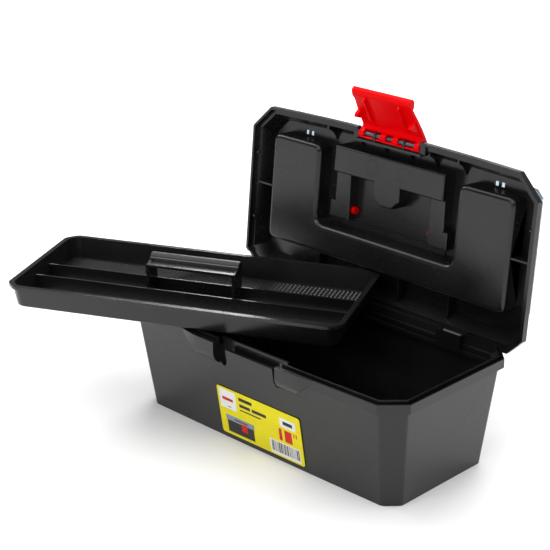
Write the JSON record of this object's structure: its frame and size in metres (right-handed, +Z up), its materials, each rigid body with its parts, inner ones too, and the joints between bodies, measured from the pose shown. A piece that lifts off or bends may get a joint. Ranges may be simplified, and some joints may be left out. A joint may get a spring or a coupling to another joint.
{
  "type": "toolbox with tray",
  "caption": "Moulded plastic toolbox with a hinged lid, lift-out tray with an arch handle, front flap latch, folding carry handle and clear organiser covers.",
  "frame": {"origin": "centre of the base's flat underside, on the surface it stands on", "axes": "+X along the box to the right, +Y towards the hinge side, +Z up; the latch side faces -Y"},
  "size_m": [0.4365, 0.2883, 0.2874],
  "materials": {
    "black_plastic": "fine-textured moulded plastic with a soft sheen",
    "red_plastic": "smooth moulded plastic, slightly translucent at thin edges",
    "smoky_plastic": "clear smoky moulded plastic",
    "pin_steel": "drawn steel rod, dull blue-grey",
    "label_paper": "printed self-adhesive paper"
  },
  "bodies": {
    "base": {"base_bin": "black_plastic", "hinge_pin_left": "pin_steel", "hinge_pin_right": "pin_steel", "front_label": "label_paper"},
    "lid": {"lid_shell": "black_plastic", "latch_pin": "pin_steel"},
    "latch": {"front_latch": "red_plastic"},
    "handle": {"carry_handle": "red_plastic"},
    "cover_left": {"organiser_cover_left": "smoky_plastic"},
    "cover_right": {"organiser_cover_right": "smoky_plastic"},
    "tray": {"lift_out_tray": "black_plastic"}
  },
  "joints": [
    {"name": "lid_hinge", "type": "hinge", "parent": "base", "child": "lid", "pos_m": [0, 0.0755, 0.0945], "axis": [-1, 0, 0], "range_deg": [-95.5, 0]},
    {"name": "latch_hinge", "type": "hinge", "parent": "lid", "child": "latch", "pos_m": [0, 0.09844, 0.24299], "axis": [-1, 0, 0], "range_deg": [-55, 0]},
    {"name": "handle_pivot", "type": "hinge", "parent": "lid", "child": "handle", "pos_m": [0, 0.1031, 0.16618], "axis": [-1, 0, 0], "range_deg": [0, 90]},
    {"name": "cover_left_hinge", "type": "hinge", "parent": "lid", "child": "cover_left", "pos_m": [-0.0765, 0.10324, 0.09987], "axis": [-1, 0, 0], "range_deg": [0, 110]},
    {"name": "cover_right_hinge", "type": "hinge", "parent": "lid", "child": "cover_right", "pos_m": [0.0765, 0.10324, 0.09987], "axis": [-1, 0, 0], "range_deg": [0, 110]},
    {"name": "tray_slide", "type": "slide", "parent": "base", "child": "tray", "axis": [0, -1, 0], "range_m": [0, 0.26]}
  ],
  "couplings": [
    {"joint": "tray_slide", "follows": "lid_hinge", "m_per_rad": -0.15597}
  ]
}
